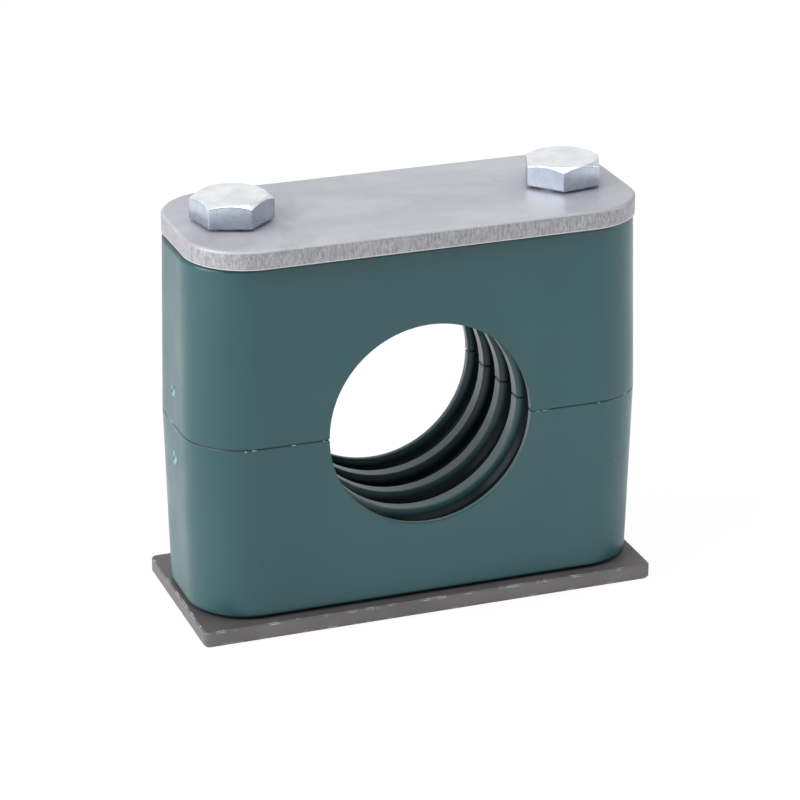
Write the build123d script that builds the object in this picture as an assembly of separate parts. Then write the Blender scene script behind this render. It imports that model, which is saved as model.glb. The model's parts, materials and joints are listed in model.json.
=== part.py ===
"""Hydraulic tube clamp: a two-bolt clamp with a ribbed, split plastic body on a weld plate.

Millimetres. The origin is at the centre of the weld plate's underside, +Z is up, +X runs
along the plate from bolt to bolt, and the tube lies along Y. Each function makes one piece.
"""
import os
from math import asin, cos, sin

from build123d import *

# Driving dimensions
BORE_R = 15.92            # at the crests of the ribs, a little under the 32 mm tube they bite on
GRIP_GAP = 0.16           # each half's bore is centred this far, in all, beyond the parting plane
BOLT_SPACING = 52.0
WELD_L, WELD_W, WELD_T = 71.8, 29.3, 2.5
BODY_L, BODY_W, BODY_H = 71.4, 27.6, 55.75   # both halves together, at the parting plane
COVER_L, COVER_W, COVER_T = 70.0, 29.0, 2.8
THREAD_R = 3.175                             # quarter-inch bolts
BOLT_LENGTH = 60.0                           # under the head

# Weld plate
WELD_CORNER_R = 0.9
WELD_TOP_EDGE = 0.2
WELD_BOTTOM_EDGE = 0.35

# Threaded collars, which stand on the weld plate with a spigot in it
COLLAR_R, COLLAR_H, COLLAR_EDGE = 5.4, 6.5, 0.6
SPIGOT_R, SPIGOT_SHORT = 4.2, 0.2
SPIGOT_PLAY = 0.05
THREAD_PLAY = 0.07        # between the bolt and the collar's thread, both drawn plain

# Moulded halves
BODY_CORNER_R = 9.2
DRAFT_END, DRAFT_SIDE = 0.4, 0.86            # a half's taper on each side, to its outer face
OUTER_EDGE = 0.7
SEAM_EDGE = 0.07
CHANNEL_R = 3.6
RECESS_R, RECESS_DEPTH = 5.9, 6.8            # seats one collar in each end of a half

# Ribbed bore
RIB_COUNT = 3
RIB_CREST = 2.0           # the flat width of a rib's crest
GROOVE_WIDTH, GROOVE_DEPTH = 4.8, 1.9
GROOVE_FLATS = 6          # the flats that make up a groove's arc, which keep the facets few
CREST_NICK = 0.25         # each crest is bevelled where the halves meet

# Cover plate
COVER_CORNER_R = 9.6
COVER_HOLE_R = 3.6
COVER_EDGE = 0.3

# Bolts
HEAD_AF, HEAD_H = 10.8, 4.0
WASHER_FACE_R, WASHER_FACE_H = 4.7, 0.45
TOP_FLAT = 0.95           # the flat top's share of the width across flats
TOP_BEVEL = 0.577         # the bevel's fall for each millimetre outwards, 30 degrees
TIP_CHAMFER = 0.8
LEFT_BOLT_TURN, RIGHT_BOLT_TURN = -19.8, 10.2   # how far each hexagon is turned, in degrees

HALF_H = BODY_H / 2
COVER_Z = WELD_T + BODY_H
BOLT_X = BOLT_SPACING / 2
GROOVE_R = (GROOVE_WIDTH ** 2 / 4 + GROOVE_DEPTH ** 2) / (2 * GROOVE_DEPTH)
GROOVE_TURN = asin(GROOVE_WIDTH / 2 / GROOVE_R)
STAND = (Align.CENTER, Align.CENTER, Align.MIN)


def groove_points(middle):
    """A groove's scalloped profile, a shallow arc drawn as GROOVE_FLATS flats."""
    points = []
    for i in range(GROOVE_FLATS + 1):
        turn = GROOVE_TURN * (2 * i / GROOVE_FLATS - 1)
        points.append((BORE_R + GROOVE_DEPTH - GROOVE_R * (1 - cos(turn)), middle + GROOVE_R * sin(turn)))
    return points


def bore_cutter():
    """The tube's space: a cylinder along Y with scalloped grooves between the ribs."""
    outline = [(0, -BODY_W), (BORE_R, -BODY_W)]
    for i in range(RIB_COUNT + 1):
        outline += groove_points((i - RIB_COUNT / 2) * (GROOVE_WIDTH + RIB_CREST))
    outline += [(BORE_R, BODY_W), (0, BODY_W)]
    return revolve(make_face(Polyline(outline, close=True)), Axis.Y)


def body_outline(length, width, inset, z):
    """The body's outline at one height, drawn in from a length and a width by an inset."""
    return Pos(0, 0, z) * RectangleRounded(length - 2 * inset, width - 2 * inset, BODY_CORNER_R - inset)


def moulded_half():
    """One plastic half, standing on its outer face with the parting face up."""
    outer_l, outer_w = BODY_L - 2 * DRAFT_END, BODY_W - 2 * DRAFT_SIDE
    foot = body_outline(outer_l, outer_w, OUTER_EDGE, 0)
    heel = body_outline(outer_l, outer_w, 0, OUTER_EDGE)
    widest = body_outline(BODY_L, BODY_W, 0, HALF_H - SEAM_EDGE)
    parting = body_outline(BODY_L, BODY_W, SEAM_EDGE, HALF_H)
    half = loft([foot, heel]) + loft([heel, widest]) + loft([widest, parting])
    half -= Pos(0, 0, HALF_H + GRIP_GAP / 2) * bore_cutter()
    nick = make_face(Polyline((-BORE_R - CREST_NICK, HALF_H), (BORE_R + CREST_NICK, HALF_H),
                              (BORE_R - SEAM_EDGE, HALF_H - CREST_NICK),
                              (SEAM_EDGE - BORE_R, HALF_H - CREST_NICK), close=True))
    half -= extrude(Plane.XZ * nick, BODY_W, both=True)
    for x in (-BOLT_X, BOLT_X):
        half -= Pos(x, 0, 0) * Cylinder(CHANNEL_R, HALF_H, align=STAND)
        half -= Pos(x, 0, 0) * Cylinder(RECESS_R, RECESS_DEPTH, align=STAND)
    return half


def weld_plate():
    """The flat steel plate that is welded to the structure, with a hole for each collar."""
    plate = extrude(RectangleRounded(WELD_L, WELD_W, WELD_CORNER_R), WELD_T)
    plate = chamfer(plate.faces().sort_by(Axis.Z)[-1].edges(), WELD_TOP_EDGE)
    plate = chamfer(plate.faces().sort_by(Axis.Z)[0].edges(), WELD_BOTTOM_EDGE)
    for x in (-BOLT_X, BOLT_X):
        plate -= Pos(x, 0, 0) * Cylinder(SPIGOT_R + SPIGOT_PLAY, WELD_T, align=STAND)
    return plate


def threaded_collar(x):
    """A turned steel nut with a spigot in the weld plate and a body in the lower half."""
    body = Pos(x, 0, WELD_T) * Cylinder(COLLAR_R, COLLAR_H, align=STAND)
    body = chamfer(body.edges().sort_by(Axis.Z)[-1], COLLAR_EDGE)
    body += Pos(x, 0, SPIGOT_SHORT) * Cylinder(SPIGOT_R, WELD_T - SPIGOT_SHORT, align=STAND)
    top = WELD_T + COLLAR_H
    mouth = Cone(THREAD_R, THREAD_R + COLLAR_EDGE, COLLAR_EDGE, align=STAND)
    mouth = Pos(x, 0, top - COLLAR_EDGE) * mouth
    return body - Pos(x, 0, 0) * Cylinder(THREAD_R, top, align=STAND) - mouth


def cover_plate():
    """The steel plate under the bolt heads, with round corners and two clearance holes."""
    plate = extrude(RectangleRounded(COVER_L, COVER_W, COVER_CORNER_R), COVER_T)
    plate = chamfer(plate.edges().group_by(Axis.Z)[-1], COVER_EDGE)
    for x in (-BOLT_X, BOLT_X):
        plate -= Pos(x, 0, 0) * Cylinder(COVER_HOLE_R, COVER_T, align=STAND)
    return Pos(0, 0, COVER_Z) * plate


def hex_head():
    """The head, standing on z = 0: a washer face, the hexagon and its chamfered corners."""
    corner_r = HEAD_AF / 3 ** 0.5
    flat_r = TOP_FLAT * HEAD_AF / 2
    hexagon = extrude(RegularPolygon(HEAD_AF / 2, 6, major_radius=False), HEAD_H)
    turned = make_face(Polyline((0, WASHER_FACE_H), (corner_r, WASHER_FACE_H),
                                (corner_r, HEAD_H - TOP_BEVEL * (corner_r - flat_r)),
                                (flat_r, HEAD_H), (0, HEAD_H), close=True))
    head = hexagon & revolve(Plane.XZ * turned, Axis.Z)
    return head + Cylinder(WASHER_FACE_R, WASHER_FACE_H, align=STAND)


def bolt(x, turn):
    """A hexagon bolt, with its head on the cover plate and its tip in the collar."""
    shank_r = THREAD_R - THREAD_PLAY
    shank = Pos(0, 0, -BOLT_LENGTH) * Cylinder(shank_r, BOLT_LENGTH, align=STAND)
    shank = chamfer(shank.edges().sort_by(Axis.Z)[0], TIP_CHAMFER)
    return Pos(x, 0, COVER_Z + COVER_T) * Rot(0, 0, turn) * (hex_head() + shank)


half = moulded_half()
pieces = {
    "weld_plate": weld_plate(),
    "threaded_collar_left": threaded_collar(-BOLT_X),
    "threaded_collar_right": threaded_collar(BOLT_X),
    "lower_half": Pos(0, 0, WELD_T) * half,
    "upper_half": Pos(0, 0, COVER_Z) * Rot(0, 180, 0) * half,
    "cover_plate": cover_plate(),
    "bolt_left": bolt(-BOLT_X, LEFT_BOLT_TURN),
    "bolt_right": bolt(BOLT_X, RIGHT_BOLT_TURN),
}

os.makedirs("parts", exist_ok=True)
for node, piece in pieces.items():
    export_step(piece, f"parts/{node}.step")
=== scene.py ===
import json
import math

import bpy
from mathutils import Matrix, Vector


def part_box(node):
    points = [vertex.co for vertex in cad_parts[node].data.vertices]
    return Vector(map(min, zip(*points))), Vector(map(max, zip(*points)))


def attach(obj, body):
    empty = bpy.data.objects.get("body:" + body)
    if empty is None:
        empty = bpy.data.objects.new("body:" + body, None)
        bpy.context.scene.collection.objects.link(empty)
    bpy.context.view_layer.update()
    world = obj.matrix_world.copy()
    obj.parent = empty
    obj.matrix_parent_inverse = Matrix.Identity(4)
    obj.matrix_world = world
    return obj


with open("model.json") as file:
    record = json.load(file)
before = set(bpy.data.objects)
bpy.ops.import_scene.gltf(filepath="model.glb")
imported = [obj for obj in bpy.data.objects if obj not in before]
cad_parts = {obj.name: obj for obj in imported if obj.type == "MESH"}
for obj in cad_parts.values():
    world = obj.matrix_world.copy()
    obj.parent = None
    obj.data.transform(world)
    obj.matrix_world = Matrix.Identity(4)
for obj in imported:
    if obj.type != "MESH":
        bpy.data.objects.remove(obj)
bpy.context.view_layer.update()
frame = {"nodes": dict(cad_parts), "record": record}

MM = 0.001

# ---------------------------------------------------------------- camera and light
CAMERA_AZIMUTH, CAMERA_ELEVATION = -19.96, 22.17
CAMERA_DISTANCE = 0.49687
CAMERA_LENS = 147.27
CAMERA_TARGET = Vector((0.00003, 0, 0.02918))
BRIGHT_SIDE = -150        # the azimuth of the room's bright side, behind and to the left
ROOM_FRONT, ROOM_BACK = 0.28, 0.95
FLOOR_HALF = 3.0
FLOOR_GLOW = 0.93         # how much of the floor the camera sees as plain white
FLOOR_DROP = 0.00002      # keeps the floor clear of the weld plate's underside


def direction(azimuth, elevation):
    """The unit vector from the object towards a viewer; azimuth 0 is in front, at -Y."""
    a, e = math.radians(azimuth), math.radians(elevation)
    return Vector((math.sin(a) * math.cos(e), -math.cos(a) * math.cos(e), math.sin(e)))


def camera():
    data = bpy.data.cameras.new("camera")
    data.lens = CAMERA_LENS
    data.sensor_width = 36
    data.clip_start, data.clip_end = 0.01, 20
    cam = bpy.data.objects.new("camera", data)
    back = direction(CAMERA_AZIMUTH, CAMERA_ELEVATION)
    cam.location = CAMERA_TARGET + back * CAMERA_DISTANCE
    cam.rotation_mode = "QUATERNION"
    cam.rotation_quaternion = (-back).to_track_quat("-Z", "Y")
    bpy.context.scene.collection.objects.link(cam)
    bpy.context.scene.camera = cam


def softbox(name, azimuth, elevation, distance, size, watts):
    """A square area lamp that faces the middle of the clamp."""
    data = bpy.data.lights.new(name, "AREA")
    data.size = size
    data.energy = watts
    lamp = bpy.data.objects.new(name, data)
    back = direction(azimuth, elevation)
    lamp.location = CAMERA_TARGET + back * distance
    lamp.rotation_mode = "QUATERNION"
    lamp.rotation_quaternion = (-back).to_track_quat("-Z", "Y")
    bpy.context.scene.collection.objects.link(lamp)


def studio():
    """A white room, darker in front of the clamp than behind it, with three softboxes."""
    world = bpy.data.worlds.new("studio")
    bpy.context.scene.world = world
    world.use_nodes = True
    nodes, links = world.node_tree.nodes, world.node_tree.links
    nodes.clear()
    out = nodes.new("ShaderNodeOutputWorld")
    room = nodes.new("ShaderNodeBackground")
    room.inputs["Color"].default_value = (0.965, 0.985, 1.0, 1)
    white = nodes.new("ShaderNodeBackground")
    white.inputs["Color"].default_value = (1, 1, 1, 1)
    place = nodes.new("ShaderNodeTexCoord")
    across = nodes.new("ShaderNodeVectorMath")
    across.operation = "DOT_PRODUCT"
    across.inputs[1].default_value = direction(BRIGHT_SIDE, 0)
    ramp = nodes.new("ShaderNodeMapRange")
    ramp.inputs["From Min"].default_value = -0.5
    ramp.inputs["From Max"].default_value = 0.6
    ramp.inputs["To Min"].default_value = ROOM_FRONT
    ramp.inputs["To Max"].default_value = ROOM_BACK
    path = nodes.new("ShaderNodeLightPath")
    mix = nodes.new("ShaderNodeMixShader")
    links.new(place.outputs["Generated"], across.inputs[0])
    links.new(across.outputs["Value"], ramp.inputs["Value"])
    links.new(ramp.outputs["Result"], room.inputs["Strength"])
    links.new(path.outputs["Is Camera Ray"], mix.inputs[0])
    links.new(room.outputs[0], mix.inputs[1])
    links.new(white.outputs[0], mix.inputs[2])
    links.new(mix.outputs[0], out.inputs["Surface"])
    softbox("key", -80, 30, 0.9, 0.7, 9.5)
    softbox("top", 10, 80, 0.9, 0.8, 4.5)
    softbox("fill", 70, 25, 1.0, 0.6, 3.2)


def floor():
    """A white floor that shows as white paper and keeps a faint shadow."""
    half = FLOOR_HALF
    mesh = bpy.data.meshes.new("floor")
    low = -FLOOR_DROP
    corners = [(-half, -half, low), (half, -half, low), (half, half, low), (-half, half, low)]
    mesh.from_pydata(corners, [], [(0, 1, 2, 3)])
    obj = bpy.data.objects.new("floor", mesh)
    bpy.context.scene.collection.objects.link(obj)
    mat = bpy.data.materials.new("floor")
    mat.use_nodes = True
    nodes, links = mat.node_tree.nodes, mat.node_tree.links
    nodes.clear()
    out = nodes.new("ShaderNodeOutputMaterial")
    paper = nodes.new("ShaderNodeBsdfDiffuse")
    paper.inputs["Color"].default_value = (0.85, 0.85, 0.85, 1)
    glow = nodes.new("ShaderNodeEmission")
    glow.inputs["Color"].default_value = (1, 1, 1, 1)
    path = nodes.new("ShaderNodeLightPath")
    share = nodes.new("ShaderNodeMath")
    share.operation = "MULTIPLY"
    share.inputs[1].default_value = FLOOR_GLOW
    mix = nodes.new("ShaderNodeMixShader")
    links.new(path.outputs["Is Camera Ray"], share.inputs[0])
    links.new(share.outputs[0], mix.inputs[0])
    links.new(paper.outputs[0], mix.inputs[1])
    links.new(glow.outputs[0], mix.inputs[2])
    links.new(mix.outputs[0], out.inputs["Surface"])
    mesh.materials.append(mat)


# ---------------------------------------------------------------- materials
class Finish:
    """A material being built: each method adds a node and returns its output."""

    def __init__(self, name, roughness, metallic=0.0):
        self.mat = bpy.data.materials.new(name)
        self.mat.use_nodes = True
        self.tree = self.mat.node_tree
        self.shader = self.tree.nodes["Principled BSDF"]
        self.shader.inputs["Metallic"].default_value = metallic
        self.shader.inputs["Roughness"].default_value = roughness
        self.place = self.tree.nodes.new("ShaderNodeTexCoord").outputs["Object"]

    def put(self, value, socket):
        if isinstance(value, bpy.types.NodeSocket):
            self.tree.links.new(value, socket)
        elif isinstance(value, (tuple, list)) and len(value) == 3 and len(socket.default_value) == 4:
            socket.default_value = (*value, 1)
        else:
            socket.default_value = value

    def stretch(self, scale):
        node = self.tree.nodes.new("ShaderNodeVectorMath")
        node.operation = "MULTIPLY"
        self.put(self.place, node.inputs[0])
        self.put(scale, node.inputs[1])
        return node.outputs[0]

    def noise(self, scale, detail=3.0, roughness=0.55, vector=None):
        node = self.tree.nodes.new("ShaderNodeTexNoise")
        node.inputs["Scale"].default_value = scale
        node.inputs["Detail"].default_value = detail
        node.inputs["Roughness"].default_value = roughness
        self.put(vector or self.place, node.inputs["Vector"])
        return node.outputs["Fac"]

    def math(self, operation, a, b=0.5):
        node = self.tree.nodes.new("ShaderNodeMath")
        node.operation = operation
        self.put(a, node.inputs[0])
        self.put(b, node.inputs[1])
        return node.outputs[0]

    def band(self, value, low, high, out_low=0.0, out_high=1.0):
        """value, taken smoothly from low..high to out_low..out_high."""
        node = self.tree.nodes.new("ShaderNodeMapRange")
        node.interpolation_type = "SMOOTHSTEP"
        node.inputs["From Min"].default_value = low
        node.inputs["From Max"].default_value = high
        node.inputs["To Min"].default_value = out_low
        node.inputs["To Max"].default_value = out_high
        self.put(value, node.inputs["Value"])
        return node.outputs[0]

    def blend(self, fac, a, b):
        node = self.tree.nodes.new("ShaderNodeMix")
        node.data_type = "RGBA"
        self.put(fac, node.inputs["Factor"])
        self.put(a, node.inputs[6])
        self.put(b, node.inputs[7])
        return node.outputs[2]

    def axes(self, vector):
        node = self.tree.nodes.new("ShaderNodeSeparateXYZ")
        self.put(vector, node.inputs[0])
        return node.outputs

    def normal(self):
        return self.tree.nodes.new("ShaderNodeNewGeometry").outputs["Normal"]

    def rounded(self, radius):
        """The normal as it would be with every edge rounded to a radius."""
        bevel = self.tree.nodes.new("ShaderNodeBevel")
        bevel.inputs["Radius"].default_value = radius
        bevel.samples = 8
        return bevel.outputs[0]

    def edges(self, radius, low=0.02, high=0.3):
        """1 along the edges of the shape, 0 on its faces."""
        dot = self.tree.nodes.new("ShaderNodeVectorMath")
        dot.operation = "DOT_PRODUCT"
        self.put(self.rounded(radius), dot.inputs[0])
        self.put(self.normal(), dot.inputs[1])
        return self.band(self.math("SUBTRACT", 1.0, dot.outputs["Value"]), low, high)

    def near(self, value, centre, reach):
        """1 where a value is within a reach of its centre, falling to 0 just past it."""
        off = self.math("ABSOLUTE", self.math("SUBTRACT", value, centre), 0)
        return self.band(off, reach * 0.7, reach, 1.0, 0.0)

    def bump(self, height, distance, normal=None):
        node = self.tree.nodes.new("ShaderNodeBump")
        node.inputs["Distance"].default_value = distance
        self.put(height, node.inputs["Height"])
        if normal:
            self.put(normal, node.inputs["Normal"])
        self.put(node.outputs[0], self.shader.inputs["Normal"])

    def colour(self, value):
        self.put(value, self.shader.inputs["Base Color"])

    def rough(self, value):
        self.put(value, self.shader.inputs["Roughness"])


def green_plastic():
    """Dark teal moulded plastic, with painted shade in the grooves and along the lines where it meets the
    plates, and a painted highlight on the crests.

    Its parting line has painted shade in places, with pale flash here and there."""
    f = Finish("green_plastic", 0.36)
    across, along, up = f.axes(f.place)
    flow = f.noise(30, 4, vector=f.stretch((1.0, 1.0, 0.35)))
    colour = f.blend(f.band(flow, 0.35, 0.65), (0.008, 0.054, 0.061), (0.013, 0.067, 0.074))
    rise = f.math("SUBTRACT", up, SEAM_Z)
    squares = f.math("ADD", f.math("MULTIPLY", across, across), f.math("MULTIPLY", rise, rise))
    radius = f.math("SQRT", squares, 0)
    inside = f.math("LESS_THAN", f.math("ABSOLUTE", along, 0), GROOVES_END)
    # Painted shade in the bore's grooves; the same mask lowers their specular further down.
    groove_shade = f.math("MULTIPLY", inside, f.band(radius, CREST_TOP_R, GROOVE_DARK_R))
    groove_shade = f.math("MULTIPLY", groove_shade, f.math("LESS_THAN", radius, GROOVE_FLOOR_R))
    colour = f.blend(groove_shade, colour, SHADE)
    # Painted highlight on the crests of the bore, inside CREST_TOP_R.
    crest_highlight = f.math("MULTIPLY", inside, f.math("LESS_THAN", radius, CREST_TOP_R))
    colour = f.blend(crest_highlight, colour, (0.045, 0.088, 0.095))
    # Painted shade along the foot against the weld plate and under the cover plate.
    foot_shade = f.near(up, WELD_TOP_Z, FOOT_SHADE_LINE)
    under_cover_shade = f.near(up, COVER_FOOT_Z, COVER_SHADE_LINE)
    colour = f.blend(f.math("MAXIMUM", foot_shade, under_cover_shade), colour, (0.001, 0.004, 0.004))
    specks = f.band(f.noise(520, 2), 0.785, 0.81, 0, 0.5)
    wall = f.band(f.math("ABSOLUTE", f.axes(f.normal())[2], 0), 0.8, 0.95, 1, 0)
    seam = f.math("MULTIPLY", wall, f.near(up, SEAM_Z, FLASH_LINE))
    flash = f.math("MULTIPLY", seam, f.band(f.noise(210, 3), 0.61, 0.66, 0, 0.8))
    # Painted shade in the gap along the parting line, in places.
    seam_gap_shade = f.math("MULTIPLY", f.near(up, SEAM_Z, SEAM_SHADE_LINE), f.band(f.noise(120, 3), 0.40, 0.48, 0, 0.9))
    seam_gap_shade = f.math("MULTIPLY", wall, seam_gap_shade)
    colour = f.blend(seam_gap_shade, colour, SHADE)
    f.colour(f.blend(f.math("MAXIMUM", specks, flash), colour, (0.16, 0.30, 0.28)))
    f.put(f.band(groove_shade, 0, 1, 0.5, 0.12), f.shader.inputs["Specular IOR Level"])
    f.rough(f.band(f.noise(90, 5), 0.3, 0.7, 0.30, 0.40))
    f.bump(f.noise(1400, 3), 0.008 * MM, f.rounded(0.45 * MM))
    return f.mat


def pale_plastic():
    """The torn plastic of a gate mark, paler than the skin round it."""
    f = Finish("pale_plastic", 0.45)
    f.colour(f.blend(f.band(f.noise(900, 3), 0.4, 0.6), (0.02, 0.09, 0.085), (0.15, 0.32, 0.27)))
    return f.mat


def grey_zinc():
    """Blasted and zinc-plated plate with a sheared edge, streaked from top to bottom."""
    f = Finish("grey_zinc", 0.5, metallic=0.35)
    up = f.axes(f.place)[2]
    mottle = f.noise(120, 6, 0.65, vector=f.stretch((0.6, 1.0, 1.0)))
    top = f.blend(f.band(mottle, 0.3, 0.7), (0.325, 0.325, 0.362), (0.405, 0.405, 0.435))
    smudge = f.band(f.noise(70, 5, 0.7, vector=f.stretch((1.0, 0.5, 1.0))), 0.56, 0.72, 0, 0.5)
    top = f.blend(smudge, top, (0.235, 0.235, 0.255))
    streak = f.noise(3400, 4, 0.8, vector=f.stretch((1.0, 1.0, 0.3)))
    side = f.blend(f.band(streak, 0.30, 0.70), (0.18, 0.18, 0.195), (0.38, 0.375, 0.395))
    upright = f.band(f.math("ABSOLUTE", f.axes(f.normal())[2], 0), 0.5, 0.8)
    burr = f.near(up, COVER_FOOT_Z, 0.2 * MM)
    # A paler line along the plate's top edges: a painted highlight.
    top_edge_highlight = f.math("MULTIPLY", f.near(up, COVER_TOP_Z, 0.32 * MM), f.edges(0.4 * MM, 0.02, 0.2))
    colour = f.blend(f.math("MULTIPLY", burr, 0.7), f.blend(upright, side, top), (0.62, 0.62, 0.64))
    f.colour(f.blend(f.math("MULTIPLY", top_edge_highlight, 0.8), colour, (0.60, 0.60, 0.62)))
    f.rough(f.band(mottle, 0.3, 0.7, 0.42, 0.55))
    f.bump(f.math("ADD", f.noise(2500, 3), streak), 0.02 * MM, f.rounded(0.5 * MM))
    return f.mat


def dark_steel():
    """Bare hot-rolled plate, brown-grey, worn bright along its edges."""
    f = Finish("dark_steel", 0.5, metallic=0.3)
    cloud = f.noise(80, 6)
    base = f.blend(f.band(cloud, 0.3, 0.7), (0.103, 0.098, 0.097), (0.152, 0.144, 0.142))
    upright = f.band(f.axes(f.normal())[2], 0.5, 0.8)
    base = f.blend(upright, base, (0.085, 0.082, 0.082))
    worn = f.math("MULTIPLY", f.edges(0.35 * MM, 0.01, 0.12), f.band(f.noise(330, 5, 0.7), 0.50, 0.60))
    f.colour(f.blend(worn, base, (0.85, 0.83, 0.80)))
    f.rough(f.band(cloud, 0.3, 0.7, 0.42, 0.6))
    f.bump(f.noise(1500, 4), 0.03 * MM, f.rounded(0.25 * MM))
    return f.mat


def bright_zinc():
    """Bright zinc plating over a forged head. Faces turned up take a pale copy of the zinc; the flats take
    a darker, bluish copy, which is painted reflection and painted shade.
    """
    f = Finish("bright_zinc", 0.25, metallic=0.9)
    cloud = f.noise(260, 5)
    top = f.blend(f.band(cloud, 0.3, 0.7), (0.70, 0.72, 0.73), (0.86, 0.87, 0.86))
    # The flats' darker, bluish copy of the zinc: painted reflection and painted shade.
    flat_reflection_and_shade = f.blend(f.band(cloud, 0.3, 0.7), (0.35, 0.39, 0.46), (0.46, 0.50, 0.57))
    upright = f.band(f.axes(f.normal())[2], 0.2, 0.6)
    f.colour(f.blend(upright, flat_reflection_and_shade, top))
    f.rough(f.band(f.noise(400, 4), 0.3, 0.7, 0.20, 0.34))
    f.bump(f.noise(700, 4), 0.03 * MM, f.rounded(0.3 * MM))
    return f.mat


def turned_steel():
    """Bare turned steel with fine rings."""
    f = Finish("turned_steel", 0.35, metallic=0.9)
    rings = f.noise(3000, 1, vector=f.stretch((0.02, 0.02, 1.0)))
    f.colour(f.blend(f.band(rings, 0.3, 0.7), (0.3, 0.3, 0.3), (0.45, 0.45, 0.46)))
    f.bump(rings, 0.00001)
    return f.mat


# ---------------------------------------------------------------- the clamp
SEAM_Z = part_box("upper_half")[0].z
WELD_TOP_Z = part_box("weld_plate")[1].z
COVER_FOOT_Z, COVER_TOP_Z = (corner.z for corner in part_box("cover_plate"))
BORE_R = frame["record"]["mounts"][0]["dims"]["r_mm"] * MM
GROOVES_END = 12.7 * MM   # the outermost groove's edge, each way along the tube
# Inside CREST_TOP_R the crests of the bore get a painted highlight.
CREST_TOP_R = BORE_R + 0.1 * MM
# The painted shade in the grooves grows from CREST_TOP_R to full at GROOVE_DARK_R and stops at
# GROOVE_FLOOR_R.
GROOVE_DARK_R = BORE_R + 1.1 * MM
GROOVE_FLOOR_R = BORE_R + 2.1 * MM
# SHADE: the colour of the painted shade in the grooves and in the parting line's gap.
SHADE = (0.001, 0.006, 0.007)
FOOT_SHADE_LINE, COVER_SHADE_LINE = 0.8 * MM, 0.45 * MM       # the painted shade lines against the two plates
# The reach of the painted shade in the parting line's gap, and of the pale flash.
SEAM_SHADE_LINE, FLASH_LINE = 0.1 * MM, 0.2 * MM
UPPER_GATE_R, LOWER_GATE_R = 1.0 * MM, 1.3 * MM
END_DRAFT = 0.014         # how far an end leans in, for each unit above or below the parting plane
GATE_Y = -0.25 * MM
UPPER_GATE_RISE, LOWER_GATE_DROP = 5.3 * MM, -5.5 * MM
FLASH_AT = (-28.7, -27.4, -21.4, -16.8, 17.0, 18.2, 26.9)    # millimetres along the front


def lathe(name, profile, centre, body, mat, sides=32):
    """A closed piece turned about an axis that points along -X from its centre."""
    verts, faces = [], []
    for radius, height in profile:
        for i in range(sides):
            turn = 2 * math.pi * i / sides
            verts.append((-height, radius * math.cos(turn), radius * math.sin(turn)))
    for row in range(len(profile) - 1):
        for i in range(sides):
            j = (i + 1) % sides
            faces.append((row * sides + i, row * sides + j, (row + 1) * sides + j, (row + 1) * sides + i))
    faces.append(tuple(reversed(range(sides))))
    faces.append(tuple(range(len(verts) - sides, len(verts))))
    return piece(name, verts, faces, centre, body, mat)


def piece(name, verts, faces, centre, body, mat):
    """A mesh piece, in place in the row frame, that rides on a CAD body."""
    mesh = bpy.data.meshes.new(name)
    mesh.from_pydata(verts, [], faces)
    mesh.materials.append(mat)
    obj = bpy.data.objects.new(name, mesh)
    obj.location = centre
    bpy.context.scene.collection.objects.link(obj)
    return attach(obj, body)


def gate_mark(name, height, radius, body, mat):
    """The scar where the plastic ran into the mould: a torn ring on the left end of a half."""
    sunk, slope, lip, dip, pip = -0.06 * MM, 0.07 * MM, 0.09 * MM, 0.02 * MM, 0.04 * MM
    ring = [(radius, sunk), (radius * 0.85, slope), (radius * 0.65, lip),
            (radius * 0.5, dip), (radius * 0.1, pip)]
    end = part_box("lower_half")[0].x + END_DRAFT * abs(height)
    return lathe(name, ring, (end, GATE_Y, SEAM_Z + height), body, mat)


def flash(name, x, length, mat):
    """A sliver of plastic left standing on the front of the parting line, on the lower half."""
    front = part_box("lower_half")[0].y
    half, sunk, out, tall = length / 2, 0.1 * MM, 0.1 * MM, 0.16 * MM
    verts = [(-half, sunk, -tall), (half, sunk, -tall), (half, sunk, 0), (-half, sunk, 0),
             (-half * 0.5, -out, -tall * 0.8), (half * 0.7, -out * 0.6, -tall * 0.7),
             (half * 0.4, -out, -tall * 0.1), (-half * 0.6, -out * 0.7, -tall * 0.2)]
    faces = [(3, 2, 1, 0), (4, 5, 6, 7), (0, 1, 5, 4), (1, 2, 6, 5), (2, 3, 7, 6), (3, 0, 4, 7)]
    return piece(name, verts, faces, (x, front, SEAM_Z), "base", mat)


def dress(node, mat):
    """Give a CAD node its material, without touching its mesh."""
    obj = frame["nodes"][node]
    for slot in obj.material_slots:
        slot.link = "OBJECT"
        slot.material = mat


bpy.context.scene.view_settings.view_transform = "Standard"
camera()
studio()
floor()

finishes = {
    "green_plastic": green_plastic(),
    "grey_zinc": grey_zinc(),
    "dark_steel": dark_steel(),
    "bright_zinc": bright_zinc(),
    "turned_steel": turned_steel(),
}
for part in frame["record"]["subparts"]:
    dress(part["node"], finishes[part["material_slot"]])

pale = pale_plastic()
gate_mark("gate_mark_upper", UPPER_GATE_RISE, UPPER_GATE_R, "clamp_top", pale)
gate_mark("gate_mark_lower", LOWER_GATE_DROP, LOWER_GATE_R, "base", pale)
for i, x in enumerate(FLASH_AT):
    flash(f"flash_{i + 1}", x * MM, (0.5 + 0.25 * (i % 3)) * MM, pale)
